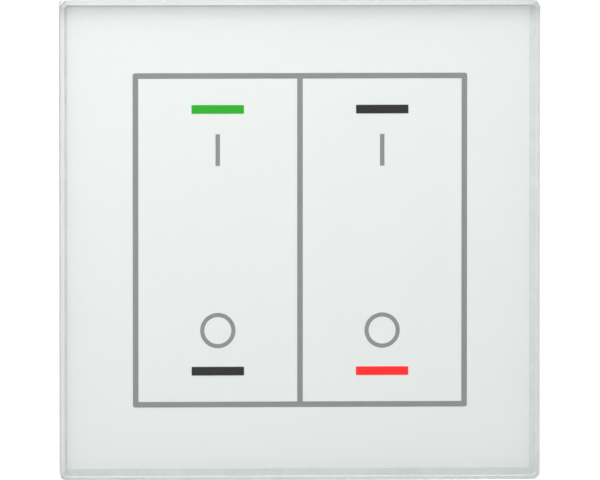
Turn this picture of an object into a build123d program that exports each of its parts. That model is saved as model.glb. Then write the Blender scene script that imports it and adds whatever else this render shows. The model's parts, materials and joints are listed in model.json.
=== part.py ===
"""Two-gang touch light switch for a wall box, in millimetres.

The wall's surface is the plane Y = 0. The room is towards -Y and the wall box towards +Y.
X runs to the viewer's right and Z up. The origin is the middle of the plate on the wall.
"""

import os

from build123d import *

# Wall screws, and the plate's margin beyond them
wall_screw_spacing = 60.0
plate_margin = 13.0

# Glass front
glass_thickness = 4.0
glass_arris = 0.7
glass_corner_cut = 0.9

# Print and films on the back of the glass
print_thickness = 0.15
print_margin = 1.75
outline_margin = 13.0
outline_line = 1.0
window_length = 9.4
window_height = 1.55
window_inset = 5.5

# Foam tape
tape_thickness = 0.25
tape_inset = 4.0

# Panel carrier
carrier_wall = 1.8
carrier_web = 1.6
carrier_corner = 0.8
carrier_opening_corner = 2.5
carrier_rim_gap = 0.3
carrier_cover_gap = 1.0
carrier_rib = 1.0
carrier_rib_depth = 1.6
carrier_rib_pitch = 12.0
carrier_inner_corner = 0.5
carrier_post = 5.0
carrier_post_inset = 7.0
pry_slot_length = 12.0
pry_slot_height = 1.4
grip_pad_length = 9.0
grip_pad_thickness = 1.0
grip_pad_lead = 0.6

# Steel mounting bracket
bracket_inset = 5.0
bracket_thickness = 1.2
bracket_corner = 3.0
bracket_gap = 0.2
wall_slot_length = 7.0
wall_slot_width = 4.2
bracket_tab_length = 10.0
bracket_tab_gap = 0.6
bracket_tab_deburr = 0.2
bracket_relief = 1.2
bracket_bead_length = 16.0
bracket_bead_width = 2.4
bracket_bead_height = 0.5
bracket_bead_inset = 3.5

# Spring clips on the bracket's tabs
clip_width = 6.0
clip_thickness = 0.4
clip_bend_radius = 0.35
clip_pad_gap = 0.1

# Housing in the wall box, its width and height as shares of the screw spacing
housing_width_share = 0.75
housing_height_share = 0.85
housing_depth = 28.0
housing_wall = 1.6
housing_corner = 3.0
housing_edge = 0.8
housing_mouth_rise = 1.15
flange_thickness = 2.0
flange_overhang = 6.5
vent_length = 16.0
vent_width = 1.2
vent_pitch = 2.8
vent_count = 6
vent_height = 11.0

# Sensor cover
cover_wall = 1.3
cover_web = 1.2
cover_fit = 0.2
cover_corner = 2.0
cover_print_gap = 0.1
guide_fit = 0.05
guide_thickness = 0.5

# Screws that hold cover, flange and bracket together
module_screw_inset = 2.5
module_screw_radius = 1.25
module_head_radius = 2.3
module_screw_fit = 0.05
module_hole_fit = 0.2
module_screw_end = 0.4
module_column_radius = 2.2

# Touch board
touch_board_thickness = 1.2
touch_board_fit = 0.2
touch_board_corner = 1.0
electrode_margin = 0.8
electrode_window_gap = 5.5
electrode_thickness = 0.1
electrode_corner = 3.0
electrode_eye = 2.0
led_length = 3.0
led_width = 1.2
led_height = 0.6
touch_chip_length = 9.9
touch_chip_width = 3.9
touch_chip_height = 1.5
touch_chip_z = -12.0
touch_chip_legs = 8
chip_leg_reach = 1.0
chip_leg_width = 0.4
chip_leg_thickness = 0.3
chip_leg_pitch = 1.27

# Pin header between the boards
header_pins_count = 6
header_pitch = 2.54
header_pin = 0.64
header_mating_gap = 0.2
header_base_height = 2.5
header_pin_reach = 6.0
header_pin_tail = 1.2
header_z = 10.0
header_fit = 0.05

# Power board
power_board_thickness = 1.6
power_board_fit = 0.2
board_hole_fit = 0.15
board_screw_radius = 1.0
board_screw_head_radius = 1.9
board_screw_head_height = 1.3
board_screw_length = 6.0
board_screw_fit = 0.05
board_post_radius = 2.2

# Terminals, each a captive screw with a rising cage
terminal_count = 4
terminal_side_margin = 2.5
terminal_divider = 2.8
terminal_block_height = 11.8
terminal_wall = 1.6
cage_height = 8.0
cage_depth = 6.0
cage_wall = 1.0
cage_nut = 2.0
cage_corner = 0.6
cage_fit = 0.2
cage_board_gap = 0.4
cage_travel = 3.3
cage_head_room = 0.5
screw_radius = 1.75
screw_fit = 0.05
screw_tip_gap = 0.05
screw_tip_radius = 1.3
screw_tip_length = 0.6
screw_head_radius = 2.8
screw_head_height = 1.8
screw_head_fit = 0.3
screw_head_recess = 0.8
screw_seat_thickness = 1.2
screw_slot_width = 0.8
screw_slot_depth = 0.9
wire_hole_radius = 1.8
wire_funnel = 1.0
contact_bar_thickness = 1.0
contact_side_gap = 0.2
contact_cage_gap = 0.4
contact_leg_gap = 0.2
contact_leg_thickness = 0.8
contact_cell_gap = 0.2
contact_tail_width = 1.2
contact_tail_length = 1.2

# Components on the power board. Places are shares of the inner width and height from the middle,
# plan sizes are shares of the inner width or height, and heights are shares of the space that the
# two boards leave.

# Relays, one for each gang
relay_x_share = 0.26
relay_z_share = 0.21
relay_width_share = 0.24
relay_length_share = 0.385
relay_height_share = 0.85
relay_edge = 0.5
relay_base_height = 1.0
relay_base_inset = 0.3

# Transformer, an E-core pair round a coil, its limbs and thickness as shares of its length
transformer_x_share = -0.285
transformer_z_share = -0.19
transformer_base_height = 1.6
core_length_share = 0.31
core_height_share = 0.6
core_thickness_share = 0.385
core_middle_limb_share = 0.2
core_outer_limb_share = 0.14
coil_core_gap = 0.3
bobbin_flange = 0.6
bobbin_wall = 0.4
bobbin_base_overhang = 0.8

# Round capacitors
electrolytic_x_share = 0.335
electrolytic_z_share = -0.17
electrolytic_radius_share = 0.095
electrolytic_height_share = 0.8
smoothing_x_share = 0.13
smoothing_z_share = -0.21
smoothing_radius_share = 0.075
smoothing_height_share = 0.6
can_groove_depth = 0.4
can_groove_height = 1.0
can_groove_place = 1.6
can_edge = 0.4

# Boxed capacitor between the lower board screws
film_screw_gap = 1.85
film_board_margin = 0.7
film_thickness = 5.0
film_height_share = 0.7
film_edge = 0.6

# Varistor and fuse behind the board
varistor_x_share = -0.285
varistor_z_share = 0.17
varistor_radius = 4.5
varistor_thickness = 3.6
varistor_edge = 1.0
varistor_stand = 1.0
lead_radius = 0.3
lead_spacing = 5.0
lead_bend = 0.8
fuse_x_share = 0.24
fuse_z_share = 0.105
fuse_radius = 2.0
fuse_length = 10.5
fuse_cap_length = 2.4
fuse_cap_step = 0.15
fuse_stand = 0.4
fuse_lead_reach = 1.6

# Rectifier and controller chips
rectifier_x_share = -0.215
rectifier_z_share = -0.085
rectifier_length = 4.7
rectifier_width = 3.9
rectifier_height = 2.4
rectifier_legs = 2
rectifier_leg_pitch = 2.54
controller_z_share = -0.08
controller_length = 4.9
controller_width = 3.9
controller_height = 1.5
controller_legs = 4

# Other shares, and angles
tab_rib_share = 1.5
bend_share = 0.9
bead_rise_share = 0.5
clip_leg_share = 0.8
clip_return_share = 0.5
clip_start_share = 0.5
cover_edge_share = 0.5
head_round_share = 0.4
bead_taper_angle = 30.0
quarter_turn_angle = 90.0
countersink_half_angle = 45.0

# One overrun for every cut that goes right through
overrun = 1.0

# Depths, stacked from the wall towards the room
bracket_front = -bracket_thickness
flange_front = bracket_front - flange_thickness
touch_board_back = flange_front - housing_mouth_rise
cover_web_back = touch_board_back - touch_board_thickness
cover_front = cover_web_back - cover_web
print_back = cover_front - cover_print_gap
glass_back = print_back - print_thickness
glass_front = glass_back - glass_thickness
tape_back = print_back + tape_thickness
web_back = tape_back + carrier_web
carrier_back = -carrier_rim_gap
bracket_tab_height = bracket_front - web_back - bracket_tab_gap

# Plan sizes
plate_side = wall_screw_spacing + 2 * plate_margin
bracket_side = plate_side - 2 * bracket_inset
bracket_tab_position = carrier_rib_pitch * tab_rib_share
housing_width = wall_screw_spacing * housing_width_share
housing_height = wall_screw_spacing * housing_height_share
cover_height = housing_height + 2 * flange_overhang
print_side = plate_side - 2 * print_margin
outline_side = plate_side - 2 * outline_margin
gang_x = (outline_line / 2 + outline_side / 2 - outline_line) / 2
window_z = outline_side / 2 - outline_line - window_inset
cover_width = housing_width + 2 * (cover_fit + cover_wall)
opening_width = cover_width + 2 * carrier_cover_gap
opening_height = cover_height + 2 * carrier_cover_gap
carrier_inner_side = plate_side - 2 * carrier_wall
module_screw_x = housing_width / 2 - module_screw_inset
module_screw_z = (housing_height + cover_height) / 4
electrode_width = 2 * (housing_width / 2 - touch_board_fit - electrode_margin - gang_x)
electrode_height = 2 * (window_z - electrode_window_gap)
inner_width = housing_width - 2 * housing_wall
inner_height = housing_height - 2 * housing_wall
inner_corner = housing_corner - housing_wall
board_post_x = inner_width / 2 - board_screw_head_radius - power_board_fit
board_post_z = inner_height / 2 - board_screw_head_radius - power_board_fit
housing_back = housing_depth
floor_front = housing_back - housing_wall

# Terminal stack, worked back from the housing's rear face
screw_seat_back = housing_back - screw_head_recess - screw_head_height
cell_back = screw_seat_back - screw_seat_thickness
cage_top = cell_back - cage_head_room - cage_travel
cage_floor = cage_top - cage_height
power_board_back = cage_floor - cage_board_gap
power_board_front = power_board_back - power_board_thickness
contact_back = cage_top - cage_nut - contact_cage_gap
contact_front = contact_back - contact_bar_thickness
wire_y = (contact_front + cage_floor + cage_wall) / 2
block_front = power_board_back
block_bottom = -housing_height / 2
block_top = block_bottom + housing_wall + terminal_block_height
cell_top = block_top - terminal_wall
leg_top = cell_top - contact_cell_gap
leg_bottom = leg_top - contact_leg_thickness
cage_high = leg_bottom - contact_leg_gap
cage_low = cage_high - cage_depth
cage_z = (cage_high + cage_low) / 2
cell_low = cage_low - cage_fit
terminal_pitch = (housing_width - 2 * terminal_side_margin) / terminal_count
first_terminal_x = -terminal_pitch * (terminal_count - 1) / 2
terminal_xs = [first_terminal_x + terminal_pitch * index for index in range(terminal_count)]
terminal_names = ["live", "neutral", "load_1", "load_2"]
cage_width = terminal_pitch - terminal_divider - 2 * cage_fit
contact_bar_width = cage_width - 2 * (cage_wall + contact_side_gap)

# Space between the boards, and the components that stand in it
board_space = power_board_front - touch_board_back
header_socket_height = board_space - header_base_height - header_mating_gap
relay_x = inner_width * relay_x_share
relay_z = inner_height * relay_z_share
relay_width = inner_width * relay_width_share
relay_length = inner_height * relay_length_share
relay_height = board_space * relay_height_share
transformer_x = inner_width * transformer_x_share
transformer_z = inner_height * transformer_z_share
core_length = inner_width * core_length_share
core_height = board_space * core_height_share
core_thickness = core_length * core_thickness_share
core_middle_limb = core_length * core_middle_limb_share
core_outer_limb = core_length * core_outer_limb_share
film_length = 2 * (terminal_pitch - board_screw_head_radius - film_screw_gap)
film_height = board_space * film_height_share
film_z = film_board_margin + film_thickness / 2 + power_board_fit - inner_height / 2
varistor_x = inner_width * varistor_x_share
varistor_z = inner_height * varistor_z_share
fuse_x = inner_width * fuse_x_share
fuse_z = inner_height * fuse_z_share


def at_depth(depth):
    """Plane parallel to the wall, seen from the room: X to the right, Z up, normal to the room."""
    return Plane.XZ.offset(-depth)


def block_between(front, back, width, height, x=0, z=0):
    """Square-cornered block parallel to the wall, from depth front to depth back."""
    with BuildPart() as block:
        with BuildSketch(at_depth(back)):
            with Locations((x, z)):
                Rectangle(width, height)
        extrude(amount=back - front)
    return block.part


def write(part, name):
    """Labels a finished piece and writes it as its own file."""
    part.label = name
    export_step(part, f"parts/{name}.step")


def four_corners(x, z):
    """The four places mirrored about both middle lines."""
    return [(x, z), (-x, z), (x, -z), (-x, -z)]


def window_places():
    """Centres of the four light windows, upper left first, then lower left."""
    return [(-gang_x, window_z), (-gang_x, -window_z), (gang_x, window_z), (gang_x, -window_z)]


def make_glass_plate():
    """Clear plate with cut corners and ground arrises on its front and back edges."""
    with BuildPart() as glass_plate:
        with BuildSketch(at_depth(glass_back)):
            Rectangle(plate_side, plate_side)
            chamfer(vertices(), glass_corner_cut)
        extrude(amount=glass_thickness)
        rims = faces().sort_by(Axis.Y)[0].edges() + faces().sort_by(Axis.Y)[-1].edges()
        chamfer(rims, glass_arris)
    return glass_plate.part


def outline_profile():
    """Square line with the centre divider, drawn in the print layer."""
    with BuildSketch(at_depth(print_back)) as profile:
        Rectangle(outline_side, outline_side)
        Rectangle(outline_side - 2 * outline_line, outline_side - 2 * outline_line, mode=Mode.SUBTRACT)
        Rectangle(outline_line, outline_side)
    return profile.sketch


def make_back_print():
    """White coat on the back of the glass, open where the line and the windows are."""
    with BuildPart() as back_print:
        with BuildSketch(at_depth(print_back)):
            Rectangle(print_side, print_side)
            with Locations(*window_places()):
                Rectangle(window_length, window_height, mode=Mode.SUBTRACT)
        extrude(amount=print_thickness)
        extrude(outline_profile(), amount=print_thickness, mode=Mode.SUBTRACT)
    return back_print.part


def make_outline_print():
    """Grey line that fills its gap in the white coat."""
    with BuildPart() as outline_print:
        extrude(outline_profile(), amount=print_thickness)
    return outline_print.part


def make_tape():
    """Foam tape ring that bonds the glass to its carrier."""
    tape_side = plate_side - 2 * tape_inset
    with BuildPart() as adhesive_frame:
        with BuildSketch(at_depth(tape_back)):
            Rectangle(tape_side, tape_side)
            RectangleRounded(opening_width, opening_height, carrier_opening_corner, mode=Mode.SUBTRACT)
        extrude(amount=tape_thickness)
    return adhesive_frame.part


def rib_places(half_span):
    """Places of ribs at one pitch, evenly about the middle, within half_span."""
    count = int(half_span / carrier_rib_pitch)
    return [carrier_rib_pitch * index for index in range(-count, count + 1)]


def make_carrier():
    """Moulded frame behind the glass: web with opening, outer wall, ribs, posts and grip pads."""
    rib_back = web_back + carrier_rib_depth
    half_inner = carrier_inner_side / 2
    side_band_x = (carrier_inner_side + opening_width) / 4
    end_band_z = (carrier_inner_side + opening_height) / 4
    pad_z = half_inner - grip_pad_thickness
    post_centre = plate_side / 2 - carrier_post_inset - carrier_post / 2
    with BuildPart() as panel_carrier:
        with BuildSketch(at_depth(carrier_back)):
            RectangleRounded(plate_side, plate_side, carrier_corner)
        extrude(amount=carrier_back - tape_back)
        with BuildSketch(at_depth(carrier_back)):
            RectangleRounded(carrier_inner_side, carrier_inner_side, carrier_inner_corner)
        extrude(amount=carrier_back - web_back, mode=Mode.SUBTRACT)
        with BuildSketch(at_depth(rib_back)):
            for place in rib_places(opening_height / 2):
                with Locations((-side_band_x, place), (side_band_x, place)):
                    Rectangle((carrier_inner_side - opening_width) / 2, carrier_rib)
            for place in rib_places(opening_width / 2):
                with Locations((place, -end_band_z), (place, end_band_z)):
                    Rectangle(carrier_rib, (carrier_inner_side - opening_height) / 2)
            RectangleRounded(
                opening_width + 2 * carrier_rib,
                opening_height + 2 * carrier_rib,
                carrier_opening_corner + carrier_rib,
            )
        extrude(amount=carrier_rib_depth)
        with BuildSketch(at_depth(bracket_front)):
            with Locations(*four_corners(post_centre, post_centre)):
                Rectangle(carrier_post, carrier_post)
        extrude(amount=bracket_front - web_back)
        for side in (-1, 1):
            with BuildSketch(Plane.YZ.offset(side * bracket_tab_position)):
                with BuildLine():
                    Polyline(
                        (web_back, half_inner),
                        (web_back, pad_z),
                        (bracket_front - grip_pad_lead, pad_z),
                        (bracket_front, pad_z + grip_pad_lead),
                        (bracket_front, half_inner),
                        close=True,
                    )
                make_face()
                mirror(about=Plane.XZ)
            extrude(amount=grip_pad_length / 2, both=True)
        with BuildSketch(at_depth(rib_back)):
            RectangleRounded(opening_width, opening_height, carrier_opening_corner)
        extrude(amount=rib_back - tape_back, mode=Mode.SUBTRACT)
        with BuildSketch(at_depth(carrier_back)):
            with Locations((0, -plate_side / 2)):
                Rectangle(pry_slot_length, 2 * (carrier_wall + overrun))
        extrude(amount=pry_slot_height, mode=Mode.SUBTRACT)
    return panel_carrier.part


def make_bracket():
    """Pressed steel plate with the housing's opening, slotted wall holes, beads and folded tabs."""
    half = bracket_side / 2
    tab_centre = half - bracket_thickness / 2
    tab_front = bracket_front - bracket_tab_height
    bead_x = half - bracket_bead_inset
    with BuildPart() as mounting_bracket:
        with BuildSketch(at_depth(0)):
            RectangleRounded(bracket_side, bracket_side, bracket_corner)
            RectangleRounded(
                housing_width + 2 * bracket_gap,
                housing_height + 2 * bracket_gap,
                housing_corner + bracket_gap,
                mode=Mode.SUBTRACT,
            )
            with Locations((-wall_screw_spacing / 2, 0), (wall_screw_spacing / 2, 0)):
                SlotOverall(wall_slot_length, wall_slot_width, mode=Mode.SUBTRACT)
            with Locations(*four_corners(module_screw_x, module_screw_z)):
                Circle(module_screw_radius + module_screw_fit, mode=Mode.SUBTRACT)
            for side in (-1, 1):
                relief_x = bracket_tab_position + side * (bracket_tab_length + bracket_relief) / 2
                with Locations(*four_corners(relief_x, half)):
                    Rectangle(bracket_relief, 2 * bracket_thickness, mode=Mode.SUBTRACT)
        extrude(amount=bracket_thickness)
        with BuildSketch(at_depth(bracket_front)):
            with Locations(*four_corners(bracket_tab_position, tab_centre)):
                Rectangle(bracket_tab_length, bracket_thickness)
        extrude(amount=bracket_tab_height)
        bend_edges = edges().filter_by(Axis.X).filter_by_position(Axis.Y, 0, 0).filter_by_position(
            Axis.Z, -half, half
        )
        outer_bends = [
            edge
            for edge in bend_edges
            if abs(abs(edge.center().Z) - half) < bracket_thickness / 2
            and abs(edge.length - bracket_tab_length) < bracket_relief / 2
        ]
        fillet(outer_bends, bracket_thickness * bend_share)
        tip_edges = edges().filter_by(Axis.Z).filter_by_position(Axis.Y, tab_front, tab_front)
        chamfer(tip_edges, bracket_thickness / 2)
        fold_edges = edges().filter_by(Axis.X).filter_by_position(Axis.Y, tab_front, tab_front)
        chamfer(fold_edges, bracket_tab_deburr)
        with BuildSketch(at_depth(bracket_front)):
            with Locations(*four_corners(bead_x, bead_x * bead_rise_share)):
                SlotOverall(bracket_bead_length, bracket_bead_width, rotation=quarter_turn_angle)
        extrude(amount=bracket_bead_height, taper=bead_taper_angle)
    return mounting_bracket.part


def make_clips():
    """Four bent strips, each hooked over a tab and bulging out to the carrier's grip pad."""
    half = bracket_side / 2
    tab_front = bracket_front - bracket_tab_height
    inner_z = half - bracket_thickness - clip_thickness / 2
    outer_z = half + clip_thickness / 2
    crest_z = carrier_inner_side / 2 - grip_pad_thickness - clip_pad_gap - clip_thickness / 2
    over_y = tab_front - clip_thickness / 2
    clip_return = bracket_tab_height * clip_return_share
    points = [
        (over_y + bracket_tab_height * clip_leg_share, inner_z),
        (over_y, inner_z),
        (over_y, outer_z),
        (over_y + clip_return * clip_start_share, outer_z),
        (over_y + clip_return, crest_z),
        (over_y + 2 * clip_return, outer_z + clip_thickness / 2),
    ]
    with BuildPart() as panel_clips:
        with BuildSketch(Plane.YZ.offset(bracket_tab_position)):
            with BuildLine():
                FilletPolyline(*points, radius=clip_bend_radius)
            trace(line_width=clip_thickness)
        extrude(amount=clip_width / 2, both=True)
        mirror(about=Plane.YZ)
        mirror(about=Plane.XY)
    return panel_clips.part


def make_cover():
    """Moulded front of the module: web with light slots, skirt and four screw columns."""
    with BuildPart() as sensor_cover:
        with BuildSketch(at_depth(flange_front)):
            RectangleRounded(cover_width, cover_height, cover_corner)
        extrude(amount=flange_front - cover_front)
        with BuildSketch(at_depth(flange_front)):
            RectangleRounded(
                cover_width - 2 * cover_wall,
                cover_height - 2 * cover_wall,
                cover_corner - cover_wall,
            )
        extrude(amount=flange_front - cover_web_back, mode=Mode.SUBTRACT)
        with BuildSketch(at_depth(flange_front)):
            with Locations(*four_corners(module_screw_x, module_screw_z)):
                Circle(module_column_radius)
        extrude(amount=flange_front - cover_web_back)
        with BuildSketch(at_depth(cover_web_back)):
            with Locations(*window_places()):
                Rectangle(window_length, window_height)
        extrude(amount=cover_web + overrun, mode=Mode.SUBTRACT)
        with Locations(at_depth(cover_front)):
            with Locations(*four_corners(module_screw_x, module_screw_z)):
                CounterSinkHole(
                    module_screw_radius + module_hole_fit,
                    module_head_radius + module_screw_fit,
                    cover_height,
                    2 * countersink_half_angle,
                )
        front_rim = faces().filter_by(Axis.Y).sort_by(Axis.Y)[0].outer_wire().edges()
        fillet(front_rim, housing_edge * cover_edge_share)
    return sensor_cover.part


def make_module_screws():
    """Four countersunk screws, flush with the cover and threaded into the bracket."""
    end = -module_screw_end
    cone_back = cover_front + module_head_radius - module_screw_radius
    with BuildPart() as module_screws:
        for x, z in four_corners(module_screw_x, module_screw_z):
            with BuildSketch(Plane.XY.offset(z)):
                with BuildLine():
                    Polyline(
                        (x, cover_front),
                        (x + module_head_radius, cover_front),
                        (x + module_screw_radius, cone_back),
                        (x + module_screw_radius, end),
                        (x, end),
                        close=True,
                    )
                make_face()
            revolve(axis=Axis((x, 0, z), (0, 1, 0)))
    return module_screws.part


def make_light_guides():
    """Four clear blocks in the cover's slots, between the window films and the lamps."""
    with BuildPart() as light_guides:
        with BuildSketch(at_depth(cover_front + guide_thickness)):
            with Locations(*window_places()):
                Rectangle(window_length - 2 * guide_fit, window_height - 2 * guide_fit)
        extrude(amount=guide_thickness)
    return light_guides.part


def make_lamps(z):
    """A pair of surface lamps on the touch board, one for each gang, in the slots at height z."""
    with BuildPart() as lamps:
        with BuildSketch(at_depth(cover_web_back)):
            with Locations((-gang_x, z), (gang_x, z)):
                Rectangle(led_length, led_width)
        extrude(amount=led_height)
    return lamps.part


def electrode_profile():
    """Two rounded fields with an eye in the middle, flush with the touch board's front."""
    with BuildSketch(at_depth(cover_web_back + electrode_thickness)) as profile:
        with Locations((-gang_x, 0), (gang_x, 0)):
            RectangleRounded(electrode_width, electrode_height, electrode_corner)
            Circle(electrode_eye, mode=Mode.SUBTRACT)
    return profile.sketch


def make_touch_board():
    """Board clamped between the cover's web and the housing's mouth."""
    with BuildPart() as touch_board:
        with BuildSketch(at_depth(touch_board_back)):
            RectangleRounded(
                housing_width - 2 * touch_board_fit,
                housing_height - 2 * touch_board_fit,
                touch_board_corner,
            )
        extrude(amount=touch_board_thickness)
        extrude(electrode_profile(), amount=electrode_thickness, mode=Mode.SUBTRACT)
    return touch_board.part


def make_touch_electrodes():
    """Copper fields that sense the finger."""
    with BuildPart() as touch_electrodes:
        extrude(electrode_profile(), amount=electrode_thickness)
    return touch_electrodes.part


def make_chip(board_face, away, length, width, height, legs, pitch, x, z):
    """Moulded chip with two rows of legs, on a board's face and rising the way that away points."""
    body_ends = sorted([board_face + away * chip_leg_thickness, board_face + away * height])
    leg_ends = sorted([board_face, board_face + away * 2 * chip_leg_thickness])
    with BuildPart() as chip:
        with BuildSketch(at_depth(body_ends[1])):
            with Locations((x, z)):
                Rectangle(length, width)
        extrude(amount=body_ends[1] - body_ends[0])
        with BuildSketch(at_depth(leg_ends[1])):
            with Locations((x, z)):
                with GridLocations(pitch, pitch, legs, 1):
                    Rectangle(chip_leg_width, width + 2 * chip_leg_reach)
        extrude(amount=leg_ends[1] - leg_ends[0])
    return chip.part


def header_profile(side, depth):
    """Squares of the header's pins or holes, one above another, in the plane at a depth."""
    with BuildSketch(at_depth(depth)) as profile:
        with Locations((0, header_z)):
            with GridLocations(header_pitch, header_pitch, 1, header_pins_count):
                Rectangle(side, side)
    return profile.sketch


def make_header_socket():
    """Socket strip on the touch board's back, bored for the pins."""
    socket_back = touch_board_back + header_socket_height
    hole_side = header_pin + 2 * header_fit
    with BuildPart() as header_socket:
        with BuildSketch(at_depth(socket_back)):
            with Locations((0, header_z)):
                Rectangle(header_pitch, header_pitch * header_pins_count)
        extrude(amount=header_socket_height)
        holes = header_profile(hole_side, socket_back)
        extrude(holes, amount=header_pin_reach + header_pin, mode=Mode.SUBTRACT)
    return header_socket.part


def make_header_pins():
    """Pins of the power board in their base strip, reaching into the socket."""
    pin_front = touch_board_back + header_socket_height - header_pin_reach
    pin_back = power_board_back + header_pin_tail
    with BuildPart() as header_pins:
        with BuildSketch(at_depth(power_board_front)):
            with Locations((0, header_z)):
                Rectangle(header_pitch, header_pitch * header_pins_count)
        extrude(amount=header_base_height)
        extrude(header_profile(header_pin, pin_back), amount=pin_back - pin_front)
    return header_pins.part


def board_screw_places():
    """Two screws in the upper posts and two between the terminal cells."""
    upper = [(-board_post_x, board_post_z), (board_post_x, board_post_z)]
    lower = [(-terminal_pitch, cage_z), (terminal_pitch, cage_z)]
    return upper + lower


def make_housing():
    """Moulded box with flange, screw posts, vents and a block of terminal cells across its foot."""
    wire_plane = Plane(origin=(0, 0, block_bottom), x_dir=(1, 0, 0), z_dir=(0, 0, -1))
    board_screw_end = power_board_front + board_screw_length
    with BuildPart() as base_housing:
        with BuildSketch(at_depth(housing_back)):
            RectangleRounded(housing_width, housing_height, housing_corner)
        extrude(amount=housing_back - touch_board_back)
        fillet(faces().sort_by(Axis.Y)[-1].edges(), housing_edge)
        with BuildSketch(at_depth(bracket_front)):
            RectangleRounded(cover_width, cover_height, cover_corner)
        extrude(amount=flange_thickness)
        with BuildSketch(at_depth(floor_front)):
            RectangleRounded(inner_width, inner_height, inner_corner)
        extrude(amount=floor_front - touch_board_back, mode=Mode.SUBTRACT)
        with BuildSketch(at_depth(floor_front)):
            with Locations((0, (block_bottom + housing_wall / 2 + block_top) / 2)):
                Rectangle(housing_width - housing_wall, block_top - block_bottom - housing_wall / 2)
        extrude(amount=floor_front - block_front)
        with BuildSketch(at_depth(floor_front)):
            with Locations((-board_post_x, board_post_z), (board_post_x, board_post_z)):
                Circle(board_post_radius)
        extrude(amount=floor_front - power_board_back)
        with BuildSketch(at_depth(board_screw_end + board_screw_fit)):
            with Locations(*board_screw_places()):
                Circle(board_screw_radius + board_screw_fit)
        extrude(amount=board_screw_end + board_screw_fit - power_board_back, mode=Mode.SUBTRACT)
        with BuildSketch(at_depth(cell_back)):
            for x in terminal_xs:
                with Locations((x, (cell_low + cell_top) / 2)):
                    Rectangle(cage_width + 2 * cage_fit, cell_top - cell_low)
        extrude(amount=cell_back - block_front, mode=Mode.SUBTRACT)
        with BuildSketch(at_depth(housing_back)):
            for x in terminal_xs:
                with Locations((x, cage_z)):
                    Circle(screw_radius + screw_fit)
        extrude(amount=housing_back - cell_back, mode=Mode.SUBTRACT)
        with BuildSketch(at_depth(housing_back)):
            for x in terminal_xs:
                with Locations((x, cage_z)):
                    Circle(screw_head_radius + screw_head_fit)
        extrude(amount=housing_back - screw_seat_back, mode=Mode.SUBTRACT)
        with Locations(wire_plane):
            for x in terminal_xs:
                with Locations((x, -wire_y)):
                    CounterSinkHole(
                        wire_hole_radius,
                        wire_hole_radius + wire_funnel,
                        cell_low - block_bottom + cage_fit,
                        2 * countersink_half_angle,
                    )
        with BuildSketch(at_depth(housing_back)):
            with Locations((0, vent_height)):
                with GridLocations(vent_length, vent_pitch, 1, vent_count):
                    SlotOverall(vent_length, vent_width)
        extrude(amount=housing_wall, mode=Mode.SUBTRACT)
        with BuildSketch(at_depth(bracket_front)):
            with Locations(*four_corners(module_screw_x, module_screw_z)):
                Circle(module_screw_radius + module_hole_fit)
        extrude(amount=flange_thickness, mode=Mode.SUBTRACT)
    return base_housing.part


def make_power_board():
    """Board on the terminal block and posts, with holes for screws, pins and contact tails."""
    pin_hole = header_pin + 2 * header_fit
    with BuildPart() as power_board:
        with BuildSketch(at_depth(power_board_back)):
            RectangleRounded(
                inner_width - 2 * power_board_fit,
                inner_height - 2 * power_board_fit,
                inner_corner - power_board_fit,
            )
            with Locations(*board_screw_places()):
                Circle(board_screw_radius + board_hole_fit, mode=Mode.SUBTRACT)
            for x in terminal_xs:
                with Locations((x, (leg_top + leg_bottom) / 2)):
                    Rectangle(
                        contact_tail_width + 2 * header_fit,
                        contact_leg_thickness + 2 * header_fit,
                        mode=Mode.SUBTRACT,
                    )
        extrude(amount=power_board_thickness)
        pin_holes = header_profile(pin_hole, power_board_back)
        extrude(pin_holes, amount=power_board_thickness, mode=Mode.SUBTRACT)
    return power_board.part


def make_board_screws():
    """Four pan-head screws through the power board."""
    head_front = power_board_front - board_screw_head_height
    with BuildPart() as board_screws:
        for x, z in board_screw_places():
            with BuildSketch(at_depth(power_board_front)):
                with Locations((x, z)):
                    Circle(board_screw_head_radius)
            extrude(amount=board_screw_head_height)
            with BuildSketch(at_depth(power_board_front + board_screw_length)):
                with Locations((x, z)):
                    Circle(board_screw_radius)
            extrude(amount=board_screw_length)
        rims = edges().filter_by(GeomType.CIRCLE).filter_by_position(Axis.Y, head_front, head_front)
        fillet(rims, board_screw_head_height * head_round_share)
    return board_screws.part


def make_relay(x):
    """Sealed relay case on a slightly smaller base."""
    case_back = power_board_front - relay_base_height
    with BuildPart() as relay:
        with BuildSketch(at_depth(power_board_front)):
            with Locations((x, relay_z)):
                Rectangle(relay_width - 2 * relay_base_inset, relay_length - 2 * relay_base_inset)
        extrude(amount=relay_base_height)
        with BuildSketch(at_depth(case_back)):
            with Locations((x, relay_z)):
                RectangleRounded(relay_width, relay_length, relay_edge)
        extrude(amount=relay_height - relay_base_height)
        fillet(faces().sort_by(Axis.Y)[0].edges(), relay_edge)
    return relay.part


def make_transformer_core():
    """Two E-cores face to face: outer frame and middle limb, standing on the bobbin's base."""
    core_back = power_board_front - transformer_base_height
    window_width = (core_length - core_middle_limb) / 2 - core_outer_limb
    window_x = (core_middle_limb + window_width) / 2
    core_plane = Plane.XY.offset(transformer_z)
    core_middle = core_back - core_height / 2
    with BuildPart() as transformer_core:
        with BuildSketch(core_plane):
            with Locations((transformer_x, core_middle)):
                Rectangle(core_length, core_height)
                with Locations((-window_x, 0), (window_x, 0)):
                    Rectangle(window_width, core_height - 2 * core_outer_limb, mode=Mode.SUBTRACT)
        extrude(amount=core_thickness / 2, both=True)
    return transformer_core.part


def coil_ends():
    """Front and back depth of the space between the core's yokes."""
    core_back = power_board_front - transformer_base_height
    return core_back - core_height + core_outer_limb, core_back - core_outer_limb


def coil_radius():
    """Outer radius of the coil, a gap short of the core's outer limbs."""
    return core_length / 2 - core_outer_limb - coil_core_gap


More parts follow.
